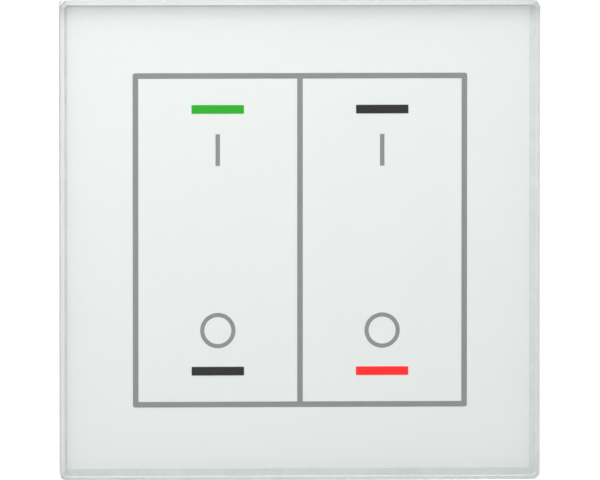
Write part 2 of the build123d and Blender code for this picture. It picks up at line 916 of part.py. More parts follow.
def make_transformer_bobbin():
    """Spool round the middle limb with two flanges, and the base that stands on the board."""
    coil_front, coil_back = coil_ends()
    hole_width = core_middle_limb
    hole_length = core_thickness
    with BuildPart() as transformer_bobbin:
        with BuildSketch(at_depth(coil_back)):
            with Locations((transformer_x, transformer_z)):
                Rectangle(hole_width + 2 * bobbin_wall, hole_length + 2 * bobbin_wall)
        extrude(amount=coil_back - coil_front)
        for flange_back in (coil_back, coil_front + bobbin_flange):
            with BuildSketch(at_depth(flange_back)):
                with Locations((transformer_x, transformer_z)):
                    Circle(coil_radius() + coil_core_gap / 2)
            extrude(amount=bobbin_flange)
        for side in (-1, 1):
            foot_z = transformer_z + side * (core_thickness + bobbin_base_overhang + coil_core_gap) / 2
            with BuildSketch(at_depth(power_board_front)):
                with Locations((transformer_x, foot_z)):
                    Rectangle(core_length, bobbin_base_overhang)
            extrude(amount=power_board_front - coil_back + bobbin_flange)
        with BuildSketch(at_depth(power_board_front)):
            with Locations((transformer_x, transformer_z)):
                Rectangle(core_length, core_thickness + 2 * bobbin_base_overhang + coil_core_gap)
        extrude(amount=transformer_base_height)
        with BuildSketch(at_depth(coil_back)):
            with Locations((transformer_x, transformer_z)):
                Rectangle(hole_width, hole_length)
        extrude(amount=coil_back - coil_front, mode=Mode.SUBTRACT)
    return transformer_bobbin.part


def make_transformer_winding():
    """Taped coil between the bobbin's flanges."""
    coil_front, coil_back = coil_ends()
    winding_back = coil_back - bobbin_flange
    winding_front = coil_front + bobbin_flange
    with BuildPart() as transformer_winding:
        with BuildSketch(at_depth(winding_back)):
            with Locations((transformer_x, transformer_z)):
                Circle(coil_radius())
                Rectangle(
                    core_middle_limb + 2 * bobbin_wall,
                    core_thickness + 2 * bobbin_wall,
                    mode=Mode.SUBTRACT,
                )
        extrude(amount=winding_back - winding_front)
    return transformer_winding.part


def make_can_capacitor(radius, height, x, z):
    """Standing can with a crimp groove near its foot and rounded ends."""
    foot = power_board_front
    top = foot - height
    groove_foot = foot - can_groove_place
    groove_top = groove_foot - can_groove_height
    with BuildPart() as can:
        with BuildSketch(Plane.XY.offset(z)):
            with BuildLine():
                Polyline(
                    (x, foot),
                    (x + radius, foot),
                    (x + radius, groove_foot),
                    (x + radius - can_groove_depth, (groove_foot + groove_top) / 2),
                    (x + radius, groove_top),
                    (x + radius, top),
                    (x, top),
                    close=True,
                )
            make_face()
        revolve(axis=Axis((x, 0, z), (0, 1, 0)))
        rims = edges().filter_by(GeomType.CIRCLE).filter_by_position(Axis.Y, top, top)
        fillet(rims, can_edge)
    return can.part


def make_film_capacitor():
    """Boxed capacitor between the lower board screws."""
    with BuildPart() as film_capacitor:
        with BuildSketch(at_depth(power_board_front)):
            with Locations((0, film_z)):
                Rectangle(film_length, film_thickness)
        extrude(amount=film_height)
        fillet(faces().sort_by(Axis.Y)[0].edges(), film_edge)
    return film_capacitor.part


def make_varistor():
    """Coated disc standing on two leads behind the power board."""
    disc_y = power_board_back + varistor_stand + varistor_radius
    with BuildPart() as varistor:
        with BuildSketch(Plane.XY.offset(varistor_z)):
            with Locations((varistor_x, disc_y)):
                Circle(varistor_radius)
        extrude(amount=varistor_thickness / 2, both=True)
        fillet(edges().filter_by(GeomType.CIRCLE), varistor_edge)
        with BuildSketch(at_depth(disc_y)):
            for side in (-1, 1):
                with Locations((varistor_x + side * lead_spacing / 2, varistor_z)):
                    Circle(lead_radius)
        extrude(amount=disc_y - power_board_back)
    return varistor.part


def make_fuse():
    """Tube fuse with end caps, lying along X on its bent leads behind the power board."""
    fuse_y = power_board_back + fuse_stand + fuse_radius + fuse_cap_step
    cap_radius = fuse_radius + fuse_cap_step
    with BuildPart() as fuse:
        with BuildSketch(Plane.YZ.offset(fuse_x)):
            with Locations((fuse_y, fuse_z)):
                Circle(fuse_radius)
        extrude(amount=fuse_length / 2, both=True)
        for side in (-1, 1):
            cap_x = fuse_x + side * (fuse_length - fuse_cap_length) / 2
            with BuildSketch(Plane.YZ.offset(cap_x)):
                with Locations((fuse_y, fuse_z)):
                    Circle(cap_radius)
            extrude(amount=fuse_cap_length / 2, both=True)
            cap_end_x = fuse_x + side * fuse_length / 2
            with BuildLine(Plane.XY.offset(fuse_z)) as lead_path:
                FilletPolyline(
                    (cap_end_x, fuse_y),
                    (cap_end_x + side * fuse_lead_reach, fuse_y),
                    (cap_end_x + side * fuse_lead_reach, power_board_back),
                    radius=lead_bend,
                )
            with BuildSketch(Plane.YZ.offset(cap_end_x)):
                with Locations((fuse_y, fuse_z)):
                    Circle(lead_radius)
            sweep(path=lead_path.line)
    return fuse.part


def make_contact_bars():
    """Four bent strips: an arm through each cage, a leg to the board and a solder tail."""
    arm_low = cell_low + cage_fit / 2
    tail_front = power_board_front - contact_tail_length
    with BuildPart() as contact_bars:
        for x in terminal_xs:
            with BuildSketch(Plane.YZ.offset(x)):
                with BuildLine():
                    Polyline(
                        (contact_back, arm_low),
                        (contact_front, arm_low),
                        (contact_front, leg_bottom),
                        (power_board_back, leg_bottom),
                        (power_board_back, leg_top),
                        (contact_back, leg_top),
                        close=True,
                    )
                make_face()
            extrude(amount=contact_bar_width / 2, both=True)
            with BuildSketch(at_depth(power_board_back)):
                with Locations((x, (leg_bottom + leg_top) / 2)):
                    Rectangle(contact_tail_width, contact_leg_thickness)
            extrude(amount=power_board_back - tail_front)
    return contact_bars.part


def make_terminal_screw(x):
    """Captive screw: slotted head on its seat in the housing, and a tip that bears on the bar."""
    tip = contact_back + screw_tip_gap
    head_back = screw_seat_back + screw_head_height
    head_edge = screw_head_height * head_round_share
    with BuildPart() as terminal_screw:
        with BuildSketch(Plane.XY.offset(cage_z)):
            with BuildLine():
                Polyline(
                    (x, tip),
                    (x + screw_tip_radius, tip),
                    (x + screw_radius, tip + screw_tip_length),
                    (x + screw_radius, screw_seat_back),
                    (x + screw_head_radius, screw_seat_back),
                    (x + screw_head_radius, head_back - head_edge),
                    (x + screw_head_radius - head_edge, head_back),
                    (x, head_back),
                    close=True,
                )
            make_face()
        revolve(axis=Axis((x, 0, cage_z), (0, 1, 0)))
        with BuildSketch(at_depth(head_back)):
            with Locations((x, cage_z)):
                Rectangle(2 * screw_head_radius, screw_slot_width)
        extrude(amount=screw_slot_depth, mode=Mode.SUBTRACT)
    return terminal_screw.part


def make_terminal_cage(x):
    """Bent ring round the contact bar, with a thick threaded top that the screw draws up."""
    with BuildPart() as terminal_cage:
        with BuildSketch(Plane.XY.offset(cage_low)):
            with Locations((x, (cage_floor + cage_top) / 2)):
                RectangleRounded(cage_width, cage_height, cage_corner)
            with Locations((x, (cage_floor + cage_wall + cage_top - cage_nut) / 2)):
                Rectangle(
                    cage_width - 2 * cage_wall,
                    cage_height - cage_wall - cage_nut,
                    mode=Mode.SUBTRACT,
                )
        extrude(amount=cage_depth)
        with BuildSketch(at_depth(cage_top)):
            with Locations((x, cage_z)):
                Circle(screw_radius + screw_fit)
        extrude(amount=cage_nut, mode=Mode.SUBTRACT)
    return terminal_cage.part


os.makedirs("parts", exist_ok=True)

write(make_glass_plate(), "glass_plate")
write(make_back_print(), "back_print")
write(make_outline_print(), "outline_print")
window_names = ["window_left_on", "window_left_off", "window_right_on", "window_right_off"]
for window_name, (window_x, window_centre_z) in zip(window_names, window_places()):
    write(
        block_between(glass_back, print_back, window_length, window_height, window_x, window_centre_z),
        window_name,
    )
write(make_tape(), "adhesive_frame")
write(make_carrier(), "panel_carrier")
write(make_bracket(), "mounting_bracket")
write(make_clips(), "panel_clips")
write(make_cover(), "sensor_cover")
write(make_module_screws(), "module_screws")
write(make_light_guides(), "light_guides")
write(make_lamps(window_z), "green_leds")
write(make_lamps(-window_z), "red_leds")
write(make_touch_board(), "touch_board")
write(make_touch_electrodes(), "touch_electrodes")
write(
    make_chip(
        touch_board_back,
        1,
        touch_chip_length,
        touch_chip_width,
        touch_chip_height,
        touch_chip_legs,
        chip_leg_pitch,
        0,
        touch_chip_z,
    ),
    "touch_controller",
)
write(make_header_socket(), "header_socket")
write(make_header_pins(), "header_pins")
write(make_housing(), "base_housing")
write(make_power_board(), "power_board")
write(make_board_screws(), "board_screws")
write(make_relay(-relay_x), "relay_left")
write(make_relay(relay_x), "relay_right")
write(make_transformer_core(), "transformer_core")
write(make_transformer_bobbin(), "transformer_bobbin")
write(make_transformer_winding(), "transformer_winding")
write(
    make_can_capacitor(
        inner_width * electrolytic_radius_share,
        board_space * electrolytic_height_share,
        inner_width * electrolytic_x_share,
        inner_height * electrolytic_z_share,
    ),
    "electrolytic_capacitor",
)
write(
    make_can_capacitor(
        inner_width * smoothing_radius_share,
        board_space * smoothing_height_share,
        inner_width * smoothing_x_share,
        inner_height * smoothing_z_share,
    ),
    "smoothing_capacitor",
)
write(make_film_capacitor(), "film_capacitor")
write(make_varistor(), "varistor")
write(make_fuse(), "fuse")
write(
    make_chip(
        power_board_back,
        1,
        rectifier_length,
        rectifier_width,
        rectifier_height,
        rectifier_legs,
        rectifier_leg_pitch,
        inner_width * rectifier_x_share,
        inner_height * rectifier_z_share,
    ),
    "bridge_rectifier",
)
write(
    make_chip(
        power_board_front,
        -1,
        controller_length,
        controller_width,
        controller_height,
        controller_legs,
        chip_leg_pitch,
        0,
        inner_height * controller_z_share,
    ),
    "power_controller",
)
write(make_contact_bars(), "contact_bars")
for terminal_name, terminal_x in zip(terminal_names, terminal_xs):
    write(make_terminal_screw(terminal_x), f"terminal_screw_{terminal_name}")
    write(make_terminal_cage(terminal_x), f"terminal_cage_{terminal_name}")
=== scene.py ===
import json
import math

import bmesh
import bpy
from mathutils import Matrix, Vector


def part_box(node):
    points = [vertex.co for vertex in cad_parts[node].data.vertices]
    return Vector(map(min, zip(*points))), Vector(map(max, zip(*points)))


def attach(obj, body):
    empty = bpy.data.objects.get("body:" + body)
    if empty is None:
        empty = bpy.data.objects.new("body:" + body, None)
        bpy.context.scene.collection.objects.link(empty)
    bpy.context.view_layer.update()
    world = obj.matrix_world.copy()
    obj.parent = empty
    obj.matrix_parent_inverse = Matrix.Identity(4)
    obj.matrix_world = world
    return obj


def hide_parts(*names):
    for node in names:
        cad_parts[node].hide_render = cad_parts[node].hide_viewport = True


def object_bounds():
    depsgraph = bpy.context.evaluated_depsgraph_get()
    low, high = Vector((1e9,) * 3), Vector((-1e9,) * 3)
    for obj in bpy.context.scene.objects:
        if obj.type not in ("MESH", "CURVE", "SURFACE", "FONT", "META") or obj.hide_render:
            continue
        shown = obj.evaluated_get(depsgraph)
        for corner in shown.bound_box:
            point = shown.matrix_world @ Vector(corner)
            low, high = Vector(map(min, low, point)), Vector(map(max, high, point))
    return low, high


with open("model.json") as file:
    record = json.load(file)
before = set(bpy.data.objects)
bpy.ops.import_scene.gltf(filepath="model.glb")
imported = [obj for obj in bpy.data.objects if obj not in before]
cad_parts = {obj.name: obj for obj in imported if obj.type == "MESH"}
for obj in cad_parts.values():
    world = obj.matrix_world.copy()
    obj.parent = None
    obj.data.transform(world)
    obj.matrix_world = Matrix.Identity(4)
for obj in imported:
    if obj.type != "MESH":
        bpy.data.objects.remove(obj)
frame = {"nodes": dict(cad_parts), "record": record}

MM = 0.001
WHITE = (1.0, 1.0, 1.0)
WINDOWS = ["window_left_on", "window_left_off", "window_right_on", "window_right_off"]

cad_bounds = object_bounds()
nodes = frame["nodes"]
slot_of_node = {row["node"]: row["material_slot"] for row in frame["record"]["subparts"]}

# Places read from the frame
glass_low, glass_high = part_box("glass_plate")
print_low, print_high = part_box("back_print")
outline_low, outline_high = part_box("outline_print")
window_low, window_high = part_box("window_left_on")
gang_x = -(window_low.x + window_high.x) / 2
plate_side = glass_high.x - glass_low.x
glass_front = glass_low.y
glass_back = glass_high.y

# Depths of the printed layers: the films lie wet on the glass, the ink and the coat just behind it
film_bite = 0.02 * MM
ink_gap = 0.015 * MM
ink_depth = 0.06 * MM
coat_gap = 0.03 * MM

# The coat's shift from the middle, and its spread past the print's own outline
coat_shift_x = -0.3 * MM
coat_shift_z = 0.45 * MM
coat_spread = 0.25 * MM

# Printed outline with its round corners, and the printed marks
outline_line = 1.0 * MM
outline_corner = 0.45 * MM
corner_steps = 6
mark_bar_width = 0.8 * MM
mark_bar_height = 5.7 * MM
mark_ring_outer = 3.17 * MM
mark_ring_inner = 2.43 * MM
mark_height = 16.2 * MM
ring_sides = 96

# Sealing bead behind the glass's clear margin: it wets the glass and fills the notch at its back edge
bead_gap = 0.02 * MM
bead_inset = 0.03 * MM
glass_arris = 0.7 * MM
glass_corner_cut = 0.9 * MM

# Raised terminal marks under the housing, each beside its wire entry
TERMINAL_SIGNS = {"live": "L", "neutral": "N", "load_1": "1", "load_2": "2"}
terminal_mark_size = 4.0 * MM
terminal_mark_rise = 0.15 * MM
terminal_mark_y = 21.5 * MM
terminal_mark_curve_steps = 4

# The glass's refraction, its faint green body, and the slight wave of its surface
glass_ior = 1.52
glass_body = (0.5, 1.0, 0.85)
glass_density = 7.0
wave_scale = 45.0
wave_detail = 1.0
wave_strength = 0.05
wave_depth = 0.01 * MM

# The glass's ground edges: their sheen, and how much of their look is frosted
ground_roughness = 0.3
ground_frost = 0.22

# How squarely the glass faces the room or the wall where it is still ground, and where polished
ground_facing = 0.9
polished_facing = 0.99

# Share of each colour of light that passes a polished face and a ground side
face_pass = (0.955, 0.96, 0.96)
side_pass = (0.08, 0.1, 0.1)

# Where ground sides hold light back: behind this share of the depth, and below these facings
side_front_share = 0.4
side_front_blend = 0.2 * MM
side_facing = 0.3
face_facing = 0.6

# Fine grain: patches of tone and of sheen in grains, the sheen's spread, its strength and its detail
tone_patch = 12
sheen_patch = 3
sheen_spread = 0.12
grain_strength = 0.6
grain_detail = 2.0

# Looks taken round a point to round an edge
bevel_samples = 4

# Grained surfaces: slot, colour, roughness, grains a metre, depth of grain, spread of tone, and more
SURFACES = [
    ("white_enamel", (0.955, 0.96, 0.955), 0.35, 900, 0, 0.004, {}),
    ("grey_ink", (0.232, 0.23, 0.23), 0.5, 4000, 0, 0.03, {}),
    ("dark_window", (0.006, 0.006, 0.006), 0.5, 4000, 0, 0.1, {"mirror": 0.0}),
    ("foam_tape", (0.81, 0.83, 0.82), 0.9, 6000, 0.02 * MM, 0.04, {}),
    ("white_plastic", (0.87, 0.855, 0.82), 0.45, 3500, 0.02 * MM, 0.015, {"edge": 0.25 * MM}),
    ("housing_plastic", (0.72, 0.72, 0.69), 0.5, 3000, 0.03 * MM, 0.02, {"edge": 0.3 * MM}),
    (
        "spring_steel",
        (0.45, 0.46, 0.48),
        0.25,
        2500,
        0.004 * MM,
        0.08,
        {"metallic": 1.0, "stretch": (1, 0.1, 0.1), "edge": 0.08 * MM},
    ),
    (
        "screw_steel",
        (0.63, 0.62, 0.58),
        0.3,
        3000,
        0.004 * MM,
        0.08,
        {"metallic": 1.0, "edge": 0.12 * MM},
    ),
    (
        "cage_steel",
        (0.62, 0.55, 0.33),
        0.32,
        2500,
        0.004 * MM,
        0.12,
        {"metallic": 1.0, "edge": 0.12 * MM},
    ),
    ("diffuser", (0.85, 0.85, 0.84), 0.5, 3000, 0.01 * MM, 0.02, {}),
    ("green_lamp", (0.6, 0.75, 0.55), 0.2, 3000, 0, 0.05, {}),
    ("red_lamp", (0.8, 0.6, 0.55), 0.2, 3000, 0, 0.05, {}),
    ("board_green", (0.02, 0.13, 0.05), 0.35, 1500, 0.01 * MM, 0.25, {}),
    ("copper", (0.8, 0.58, 0.3), 0.3, 3000, 0.003 * MM, 0.08, {"metallic": 1.0}),
    ("chip_black", (0.025, 0.025, 0.027), 0.55, 5000, 0.01 * MM, 0.15, {}),
    ("black_plastic", (0.025, 0.025, 0.028), 0.4, 4000, 0.01 * MM, 0.15, {}),
    ("relay_case", (0.02, 0.02, 0.024), 0.4, 2500, 0.015 * MM, 0.15, {}),
    ("ferrite", (0.06, 0.06, 0.065), 0.6, 2500, 0.02 * MM, 0.2, {}),
    ("yellow_tape", (0.75, 0.5, 0.03), 0.25, 1500, 0.01 * MM, 0.06, {}),
    ("can_sleeve", (0.03, 0.035, 0.06), 0.25, 1500, 0.005 * MM, 0.1, {}),
    ("film_case", (0.6, 0.42, 0.08), 0.4, 2500, 0.01 * MM, 0.05, {}),
    ("blue_coat", (0.03, 0.09, 0.35), 0.3, 1500, 0.03 * MM, 0.1, {}),
    ("fuse_ceramic", (0.75, 0.73, 0.67), 0.3, 2500, 0.01 * MM, 0.04, {}),
    ("brass", (0.75, 0.56, 0.25), 0.25, 2500, 0.004 * MM, 0.08, {"metallic": 1.0}),
]

# Zinc-coated sheet: its look, its crystals and how their borders wander, and its fine grain
zinc_colour = (0.58, 0.59, 0.6)
zinc_roughness = 0.34
zinc_edge = 0.12 * MM
crystal_scale = 420.0
wander_scale = 1.5 * crystal_scale
wander_reach = 0.4 / crystal_scale
wander_detail = 2.0
wander_roughness = 0.5
crystal_dark = 0.93
crystal_light = 1.05
crystal_sheen_spread = 0.15
zinc_grain_scale = 8 * crystal_scale
zinc_grain_strength = 0.5
zinc_grain_depth = 0.004 * MM

# Lit windows: slot, colour and unevenness of each, then the looks that they share
LIT_WINDOWS = [
    ("green_window", (0.0, 0.425, 0.0), 0.06),
    ("red_window", (1.0, 0.0, 0.0), 0.04),
]
lit_cloud_scale = 900.0
lit_base_share = 0.1
lit_roughness = 0.5

# Camera: its angles, its distance, and where the front's middle lies in the picture
view_azimuth = math.radians(-2.6)
view_elevation = math.radians(3.5)
camera_distance = 2.0
camera_near = 0.01
camera_far = 50.0
sensor_width = 36.0
front_pixels = 480.3
picture_pixels = 600.0
aim_x = -0.12 * MM
aim_z = 0.19 * MM

# Square lamps that face the middle of the plate: name, place, side, power and colour of each
LAMPS = [
    ("key", (-0.09, -0.3, 0.22), 0.35, 1.02, WHITE),
    ("fill_back", (0.5, 0.7, 0.2), 0.6, 5.0, WHITE),
    ("top", (0.0, -0.12, 0.35), 0.25, 0.5, (1.0, 0.98, 0.94)),
]
lamp_aim = (0, 0, 0)
sky_strength = 0.25

# Floor: its size, its tones, and its glow from near the object to far from it
floor_half = 3.0
floor_cloud_scale = 8.0
floor_dark = (0.58, 0.58, 0.58)
floor_light = (0.62, 0.62, 0.62)
floor_roughness = 0.9
floor_near = 0.15
floor_far = 0.6
floor_glow_near = 0.8
floor_glow_far = 1.0


def feed(tree, node, inputs):
    """Sets inputs to plain values or joins them to other nodes' outputs, and leaves out any None."""
    for name, value in inputs.items():
        if isinstance(value, bpy.types.NodeSocket):
            tree.links.new(value, node.inputs[name])
        elif value is not None:
            node.inputs[name].default_value = value


def add_node(tree, kind, inputs=None):
    """A new node with its inputs."""
    node = tree.nodes.new(kind)
    feed(tree, node, inputs or {})
    return node


def calculate(tree, operation, first, second=None, clamped=False):
    """Result of one operation on one or two values."""
    node = tree.nodes.new("ShaderNodeMath")
    node.operation = operation
    node.use_clamp = clamped
    feed(tree, node, {0: first, 1: second})
    return node.outputs["Value"]


def remap(tree, value, low, high, from_low=0.3, from_high=0.7):
    """Value mapped from one range to another."""
    ranges = {
        "Value": value,
        "From Min": from_low,
        "From Max": from_high,
        "To Min": low,
        "To Max": high,
    }
    return add_node(tree, "ShaderNodeMapRange", ranges).outputs["Result"]


def blend_colours(tree, factor, first, second):
    """Colour between two by a factor."""
    node = tree.nodes.new("ShaderNodeMix")
    node.data_type = "RGBA"
    feed(tree, node, {"Factor": factor, "A": (*first, 1), "B": (*second, 1)})
    return node.outputs["Result"]


def mix_shaders(tree, factor, first, second):
    """Shader between two by a factor."""
    return add_node(tree, "ShaderNodeMixShader", {0: factor, 1: first, 2: second}).outputs["Shader"]


def object_coordinates(tree, scale=(1, 1, 1)):
    """Object coordinates, stretched by scale."""
    coordinates = add_node(tree, "ShaderNodeTexCoord")
    inputs = {"Vector": coordinates.outputs["Object"], "Scale": scale}
    return add_node(tree, "ShaderNodeMapping", inputs).outputs["Vector"]


def noise_texture(tree, vector, scale, detail=3.0, roughness=0.55):
    """Noise at one scale, in patterns a metre."""
    inputs = {"Vector": vector, "Scale": scale, "Detail": detail, "Roughness": roughness}
    return add_node(tree, "ShaderNodeTexNoise", inputs)


def noise(tree, vector, scale, detail=3.0):
    """Noise factor at one scale, in patterns a metre."""
    return noise_texture(tree, vector, scale, detail).outputs["Fac"]


def rounded_edges(tree, radius):
    """Normal that lets edges catch the light as if they were rounded."""
    node = add_node(tree, "ShaderNodeBevel", {"Radius": radius})
    node.samples = bevel_samples
    return node.outputs["Normal"]


def bumped(tree, height, strength, distance, normal=None):
    """Normal bent by a height factor, on top of another normal where there is one."""
    inputs = {"Height": height, "Strength": strength, "Distance": distance, "Normal": normal}
    return add_node(tree, "ShaderNodeBump", inputs).outputs["Normal"]


def shade(colour, factor):
    """Colour made lighter or darker."""
    return tuple(min(1.0, part * factor) for part in colour)


def new_material(name):
    """A node material and its empty tree."""
    material = bpy.data.materials.new(name)
    material.use_nodes = True
    material.node_tree.nodes.clear()
    return material, material.node_tree


def finish_material(tree, surface, volume=None):
    """Joins a surface, and a volume where there is one, to the material's output."""
    add_node(tree, "ShaderNodeOutputMaterial", {"Surface": surface, "Volume": volume})


def grained(
    name,
    colour,
    roughness,
    grain_scale,
    grain_depth,
    spread,
    metallic=0.0,
    mirror=0.5,
    stretch=(1, 1, 1),
    edge=None,
):
    """Surface with a slight change of tone and sheen, and a fine grain."""
    material, tree = new_material(name)
    vector = object_coordinates(tree, stretch)
    tone = remap(tree, noise(tree, vector, grain_scale / tone_patch), 0, 1)
    gloss = remap(
        tree,
        noise(tree, vector, grain_scale / sheen_patch),
        roughness * (1 - sheen_spread),
        roughness * (1 + sheen_spread),
    )
    normal = rounded_edges(tree, edge) if edge else None
    if grain_depth:
        grain = noise(tree, vector, grain_scale, grain_detail)
        normal = bumped(tree, grain, grain_strength, grain_depth, normal)
    inputs = {
        "Base Color": blend_colours(tree, tone, shade(colour, 1 - spread), shade(colour, 1 + spread)),
        "Roughness": gloss,
        "Metallic": metallic,
        "Specular IOR Level": mirror,
        "Normal": normal,
    }
    surface = add_node(tree, "ShaderNodeBsdfPrincipled", inputs)
    finish_material(tree, surface.outputs["BSDF"])
    return material


def zinc_material():
    """Zinc-coated sheet: flat crystals, each with its own tone and sheen."""
    material, tree = new_material("zinc_steel")
    vector = object_coordinates(tree)
    wander = noise_texture(tree, vector, wander_scale, wander_detail, wander_roughness)
    bent = tree.nodes.new("ShaderNodeVectorMath")
    bent.operation = "MULTIPLY_ADD"
    feed(tree, bent, {0: wander.outputs["Color"], 1: (wander_reach,) * 3, 2: vector})
    inputs = {"Vector": bent.outputs["Vector"], "Scale": crystal_scale}
    crystals = add_node(tree, "ShaderNodeTexVoronoi", inputs)
    parts = add_node(tree, "ShaderNodeSeparateColor", {"Color": crystals.outputs["Color"]})
    dark = shade(zinc_colour, crystal_dark)
    light = shade(zinc_colour, crystal_light)
    gloss = remap(
        tree,
        parts.outputs["Green"],
        zinc_roughness * (1 - crystal_sheen_spread),
        zinc_roughness * (1 + crystal_sheen_spread),
        0.0,
        1.0,
    )
    grain = noise(tree, vector, zinc_grain_scale, grain_detail)
    edges = rounded_edges(tree, zinc_edge)
    inputs = {
        "Base Color": blend_colours(tree, parts.outputs["Red"], dark, light),
        "Roughness": gloss,
        "Metallic": 1.0,
        "Normal": bumped(tree, grain, zinc_grain_strength, zinc_grain_depth, edges),
    }
    surface = add_node(tree, "ShaderNodeBsdfPrincipled", inputs)
    finish_material(tree, surface.outputs["BSDF"])
    return material


def lit_window(name, colour, unevenness):
    """Film lit from behind, a little cloudy."""
    material, tree = new_material(name)
    cloud = noise(tree, object_coordinates(tree), lit_cloud_scale)
    inputs = {
        "Base Color": (*shade(colour, lit_base_share), 1),
        "Roughness": lit_roughness,
        "Specular IOR Level": 0.0,
        "Emission Color": (*colour, 1),
        "Emission Strength": remap(tree, cloud, 1 - unevenness, 1.0),
    }
    surface = add_node(tree, "ShaderNodeBsdfPrincipled", inputs)
    finish_material(tree, surface.outputs["BSDF"])
    return material


def passing_colour(tree, coordinates, facing):
    """Colour of light that goes straight on: pale through the faces, dark through the ground sides."""
    place = add_node(tree, "ShaderNodeSeparateXYZ", {"Vector": coordinates.outputs["Object"]})
    side_start = glass_front + side_front_share * (glass_back - glass_front)
    near = remap(tree, place.outputs["Y"], 1.0, 0.0, side_start, side_start + side_front_blend)
    square = remap(tree, facing, 0.0, 1.0, side_facing, face_facing)
    return blend_colours(tree, calculate(tree, "MAXIMUM", near, square), side_pass, face_pass)


def glass_material():
    """Clear float glass with a faint green body, polished faces and finely ground edges.

    Light on its way to the print behind it goes straight through the faces, and is held back by the
    ground sides.
    """
    material, tree = new_material("clear_glass")
    coordinates = add_node(tree, "ShaderNodeTexCoord")
    turned = add_node(tree, "ShaderNodeSeparateXYZ", {"Vector": coordinates.outputs["Normal"]})
    facing = calculate(tree, "ABSOLUTE", turned.outputs["Y"])
    wave = noise(tree, object_coordinates(tree), wave_scale, wave_detail)
    inputs = {
        "Base Color": (*WHITE, 1),
        "IOR": glass_ior,
        "Transmission Weight": 1.0,
        "Roughness": remap(tree, facing, ground_roughness, 0.0, ground_facing, polished_facing),
        "Normal": bumped(tree, wave, wave_strength, wave_depth),
    }
    clear = add_node(tree, "ShaderNodeBsdfPrincipled", inputs)
    frosted = add_node(tree, "ShaderNodeBsdfDiffuse", {"Color": (*WHITE, 1)})
    frost = remap(tree, facing, ground_frost, 0.0, ground_facing, polished_facing)
    shown = mix_shaders(tree, frost, clear.outputs["BSDF"], frosted.outputs["BSDF"])
    straight = {"Color": passing_colour(tree, coordinates, facing)}
    passing = add_node(tree, "ShaderNodeBsdfTransparent", straight)
    path = add_node(tree, "ShaderNodeLightPath")
    for kind in ("Is Diffuse Ray", "Is Shadow Ray"):
        shown = mix_shaders(tree, path.outputs[kind], shown, passing.outputs["BSDF"])
    tint = {"Color": (*glass_body, 1), "Density": glass_density}
    body = add_node(tree, "ShaderNodeVolumeAbsorption", tint)
    finish_material(tree, shown, body.outputs["Volume"])
    return material


def make_materials():
    """Every material of the record's slots, by slot."""
    made = {"clear_glass": glass_material(), "zinc_steel": zinc_material()}
    for name, colour, unevenness in LIT_WINDOWS:
        made[name] = lit_window(name, colour, unevenness)
    for name, *look, more in SURFACES:
        made[name] = grained(name, *look, **more)
    return made


def dress(materials):
    """Gives every carried-over node the material of its slot."""
    for node, slot_name in slot_of_node.items():
        nodes[node].data.materials.clear()
        nodes[node].data.materials.append(materials[slot_name])


def link(piece):
    """Puts an object in the scene."""
    bpy.context.scene.collection.objects.link(piece)


def object_from_bmesh(name, form, material, body):
    """A finished mesh object that rides on a body."""
    bmesh.ops.recalc_face_normals(form, faces=form.faces)
    mesh = bpy.data.meshes.new(name)
    form.to_mesh(mesh)
    form.free()
    piece = bpy.data.objects.new(name, mesh)
    link(piece)
    piece.data.materials.append(material)
    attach(piece, body)
    return piece


def extrude_outline(form, loops, front, back):
    """Prism along Y from front to back, for an outer loop of (x, z) points and any holes."""
    edges = []
    for loop in loops:
        ring = [form.verts.new((x, front, z)) for x, z in loop]
        for index, vertex in enumerate(ring):
            edges.append(form.edges.new((vertex, ring[(index + 1) % len(ring)])))
    filled = bmesh.ops.triangle_fill(form, edges=edges, use_beauty=True)
    faces = [item for item in filled["geom"] if isinstance(item, bmesh.types.BMFace)]
    moved = bmesh.ops.extrude_face_region(form, geom=faces)
    fresh = [item for item in moved["geom"] if isinstance(item, bmesh.types.BMVert)]
    bmesh.ops.translate(form, verts=fresh, vec=(0, back - front, 0))


def printed(name, loops, front, back, materials, slot_name):
    """Thin flat layer behind the glass, which rides on the front panel."""
    form = bmesh.new()
    extrude_outline(form, loops, front, back)
    return object_from_bmesh(name, form, materials[slot_name], "front_panel")


def rectangle(x_low, x_high, z_low, z_high):
    """Corner points of a rectangle."""
    return [(x_low, z_low), (x_high, z_low), (x_high, z_high), (x_low, z_high)]


def rounded_rectangle(x_low, x_high, z_low, z_high, radius):
    """Points of a rectangle with round corners."""
    points = []
    corners = [
        (x_high - radius, z_high - radius),
        (x_low + radius, z_high - radius),
        (x_low + radius, z_low + radius),
        (x_high - radius, z_low + radius),
    ]
    for quarter, (x, z) in enumerate(corners):
        for step in range(corner_steps + 1):
            angle = (quarter + step / corner_steps) * math.pi / 2
            points.append((x + radius * math.cos(angle), z + radius * math.sin(angle)))
    return points


def cut_rectangle(x_low, x_high, z_low, z_high, cut):
    """Points of a rectangle with cut corners."""
    return [
        (x_low + cut, z_low),
        (x_high - cut, z_low),
        (x_high, z_low + cut),
        (x_high, z_high - cut),
        (x_high - cut, z_high),
        (x_low + cut, z_high),
        (x_low, z_high - cut),
        (x_low, z_low + cut),
    ]


def circle(x, z, radius):
    """Points of a circle."""
    turns = [2 * math.pi * index / ring_sides for index in range(ring_sides)]
    return [(x + radius * math.cos(turn), z + radius * math.sin(turn)) for turn in turns]


def coat_edges(gap=0.0):
    """Low and high x, then low and high z, of the white coat, moved out by a gap."""
    reach = coat_spread + gap
    return (
        print_low.x + coat_shift_x - reach,
        print_high.x + coat_shift_x + reach,
        print_low.z + coat_shift_z - reach,
        print_high.z + coat_shift_z + reach,
    )


def window_loop(node):
    """Outline of a light window, from its node."""
    low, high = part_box(node)
    return rectangle(low.x, high.x, low.z, high.z)


